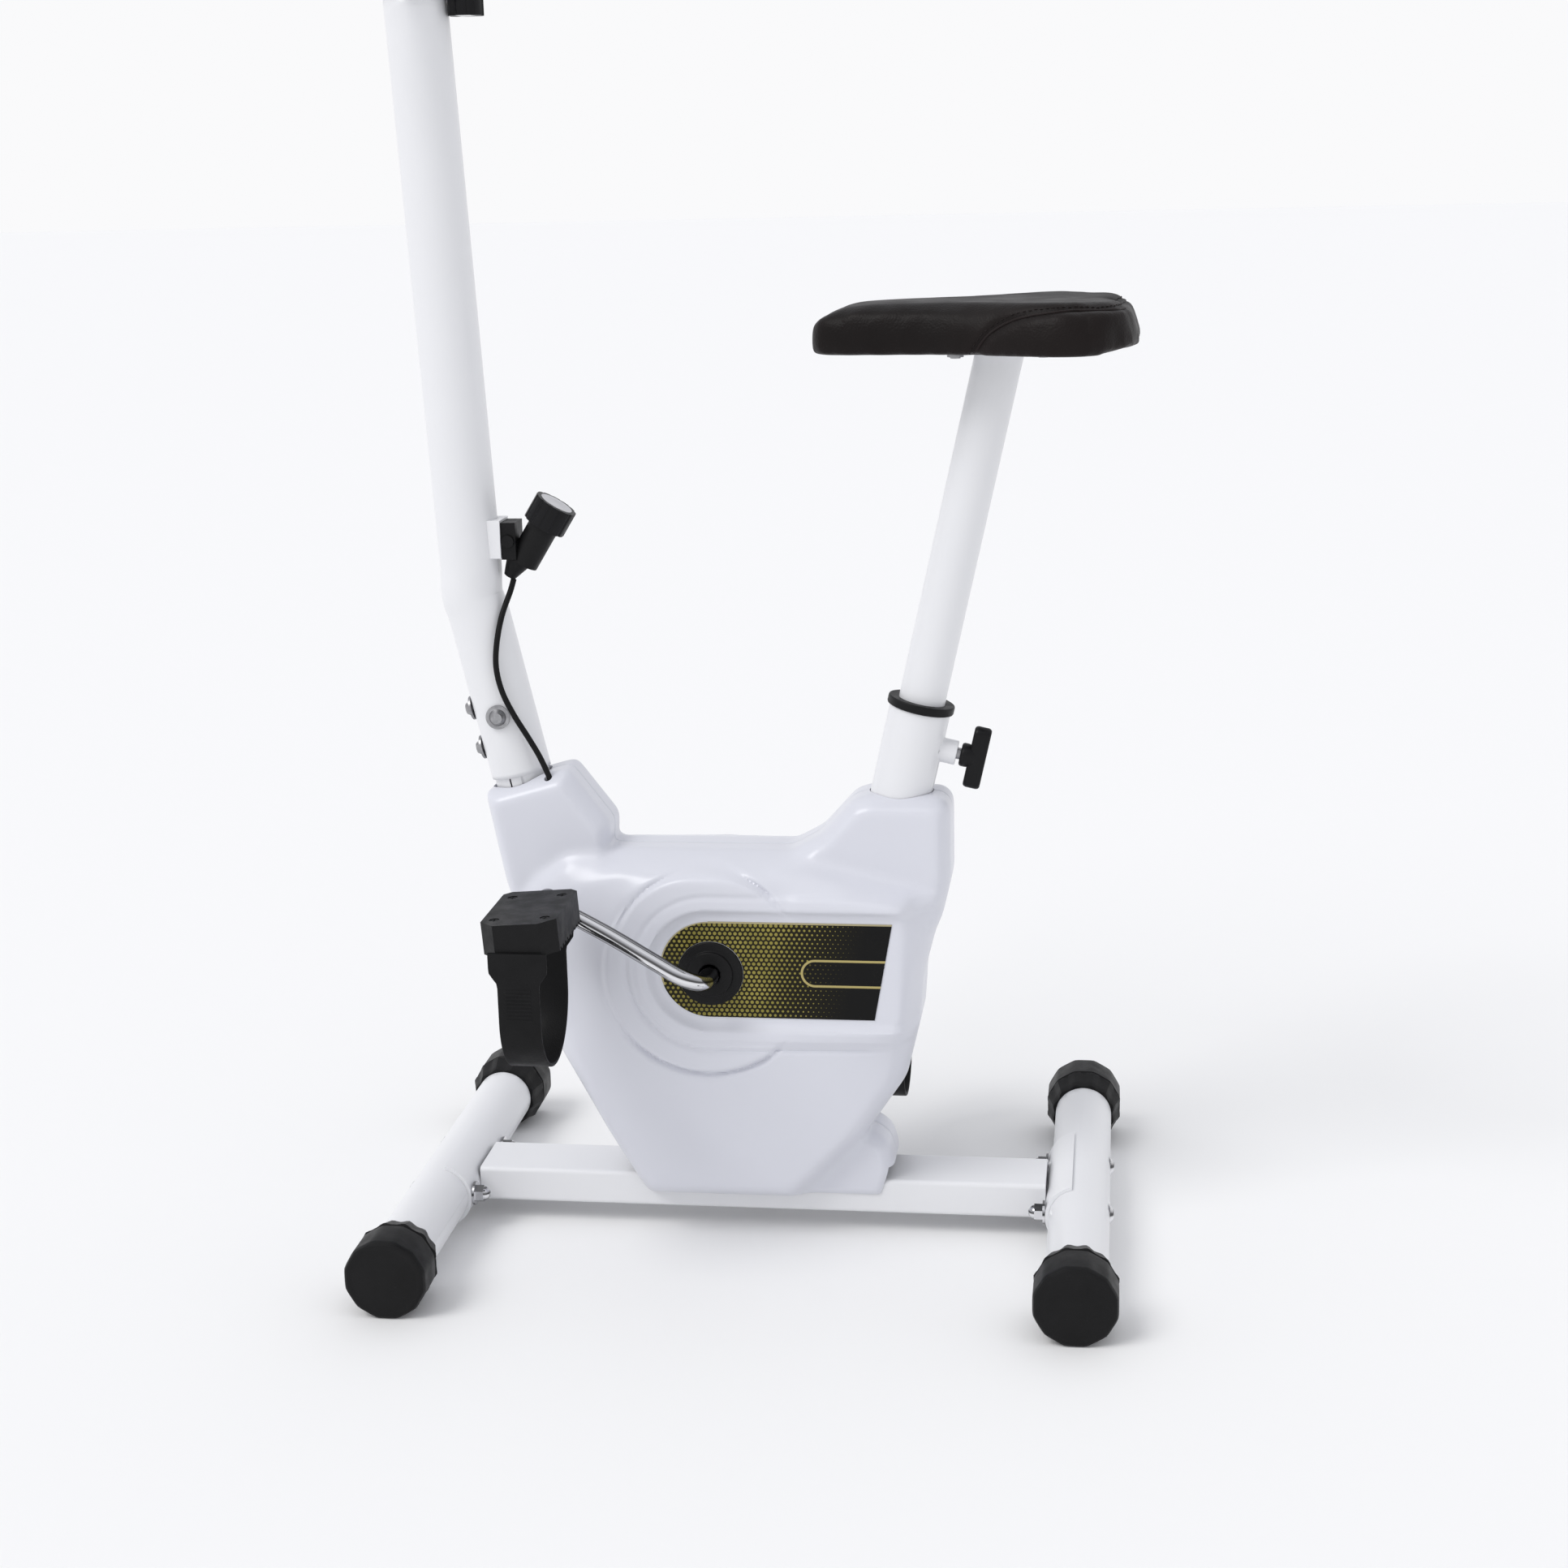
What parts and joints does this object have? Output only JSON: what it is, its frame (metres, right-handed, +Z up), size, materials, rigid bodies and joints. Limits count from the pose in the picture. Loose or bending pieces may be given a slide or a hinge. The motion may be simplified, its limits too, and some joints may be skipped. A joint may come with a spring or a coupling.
{
  "type": "exercise bike",
  "caption": "Upright magnetic exercise bike with a housed flywheel, one-piece crank, strapped pedals, height-adjustable saddle, resistance knob and console.",
  "frame": {"origin": "on the floor, at the middle of the overall box", "axes": "+Z up, +X to the rear where the seat is, -Y to the rider's left"},
  "size_m": [0.6242, 0.477, 1.1303],
  "materials": {
    "white_steel": "gloss powder coat",
    "bare_steel": "satin",
    "flywheel_iron": "turned rim",
    "chrome": "polished",
    "white_plastic": "gloss",
    "decal": "printed film",
    "black_plastic": "moulded grain",
    "knob": "satin",
    "black_rubber": "matt",
    "pedal_screw": "blackened",
    "seat_vinyl": "grained vinyl",
    "screen": "clear window over grey display",
    "button": "gloss"
  },
  "bodies": {
    "frame": {"main_beam": "white_steel", "front_saddle": "white_steel", "rear_saddle": "white_steel", "seat_tube": "white_steel", "front_upright": "white_steel", "crank_housing": "bare_steel", "flywheel_bracket": "bare_steel", "front_stabilizer": "white_steel", "rear_stabilizer": "white_steel", "front_end_caps": "black_plastic", "rear_end_caps": "black_plastic", "stabilizer_bolts": "chrome", "stabilizer_nuts": "chrome", "left_shell": "white_plastic", "right_shell": "white_plastic", "shell_screws": "bare_steel", "side_decals": "decal", "dust_caps": "black_plastic", "handlebar_post": "white_steel", "post_bolts": "bare_steel", "tension_bracket": "white_steel", "tension_housing": "black_plastic", "tension_cable": "black_rubber", "seat_collar": "black_plastic", "crank_cups": "bare_steel", "drive_belt": "black_rubber", "flywheel_axle": "chrome", "handlebar_clamp": "white_steel", "console_bracket": "white_steel", "console_case": "black_plastic", "console_screen": "screen", "bracket_spring": "chrome"},
    "crank": {"crank": "chrome", "crank_pulley": "black_plastic", "crank_bearings": "chrome", "crank_locknut": "bare_steel", "left_spindle": "chrome", "right_spindle": "chrome"},
    "left_pedal": {"left_pedal": "black_plastic", "left_strap": "black_rubber", "left_pedal_screws": "pedal_screw"},
    "right_pedal": {"right_pedal": "black_plastic", "right_strap": "black_rubber", "right_pedal_screws": "pedal_screw"},
    "flywheel": {"flywheel": "flywheel_iron", "flywheel_pulley": "bare_steel", "flywheel_bearings": "chrome"},
    "magnet_carrier": {"magnet_bracket": "bare_steel", "magnets": "black_plastic"},
    "tension_knob": {"tension_knob": "knob"},
    "seat": {"seat_post": "white_steel", "seat_pan": "black_plastic", "seat_cushion": "seat_vinyl", "seat_nuts": "bare_steel"},
    "seat_knob": {"seat_knob": "knob"},
    "handlebar": {"handlebar": "white_steel", "grips": "black_rubber"},
    "clamp_knob": {"clamp_knob": "knob"},
    "console_button": {"console_button": "button"}
  },
  "joints": [
    {"name": "crank_spin", "type": "hinge", "parent": "frame", "child": "crank", "pos_m": [-0.03, 0, 0.239], "axis": [0, 1, 0], "continuous": true},
    {"name": "left_pedal_spin", "type": "hinge", "parent": "crank", "child": "left_pedal", "pos_m": [-0.15555, -0.154, 0.30745], "axis": [0, 1, 0], "continuous": true},
    {"name": "right_pedal_spin", "type": "hinge", "parent": "crank", "child": "right_pedal", "pos_m": [0.09555, 0.154, 0.17055], "axis": [0, 1, 0], "continuous": true},
    {"name": "flywheel_spin", "type": "hinge", "parent": "frame", "child": "flywheel", "pos_m": [-0.03, 0, 0.15], "axis": [0, 1, 0], "continuous": true},
    {"name": "tension_knob_turn", "type": "hinge", "parent": "frame", "child": "tension_knob", "pos_m": [-0.161, 0, 0.606], "axis": [0.5299, 0, 0.848], "range_deg": [0, 270]},
    {"name": "magnet_carrier_swing", "type": "hinge", "parent": "frame", "child": "magnet_carrier", "pos_m": [-0.082, -0.034, 0.21], "axis": [0, 1, 0], "range_deg": [0, 5.4]},
    {"name": "seat_height", "type": "slide", "parent": "frame", "child": "seat", "axis": [0.2215, 0, 0.9751], "range_m": [-0.18, 0.03]},
    {"name": "seat_knob_turn", "type": "hinge", "parent": "frame", "child": "seat_knob", "pos_m": [0.13149, 0, 0.41856], "axis": [0.9751, 0, -0.2215], "range_deg": [-360, 0]},
    {"name": "handlebar_tilt", "type": "hinge", "parent": "frame", "child": "handlebar", "pos_m": [-0.251, 0, 1.028], "axis": [0, 1, 0], "range_deg": [-15, 15]},
    {"name": "clamp_knob_turn", "type": "hinge", "parent": "frame", "child": "clamp_knob", "pos_m": [-0.21, 0, 1.028], "axis": [0, 0, 1], "range_deg": [0, 360]},
    {"name": "console_button_press", "type": "slide", "parent": "frame", "child": "console_button", "axis": [-0.5299, 0, -0.848], "range_m": [0, 0.0015], "stiffness_N_per_m": 300}
  ],
  "couplings": [
    {"joint": "flywheel_spin", "follows": "crank_spin", "ratio": 5},
    {"joint": "magnet_carrier_swing", "follows": "tension_knob_turn", "ratio": 0.02}
  ]
}
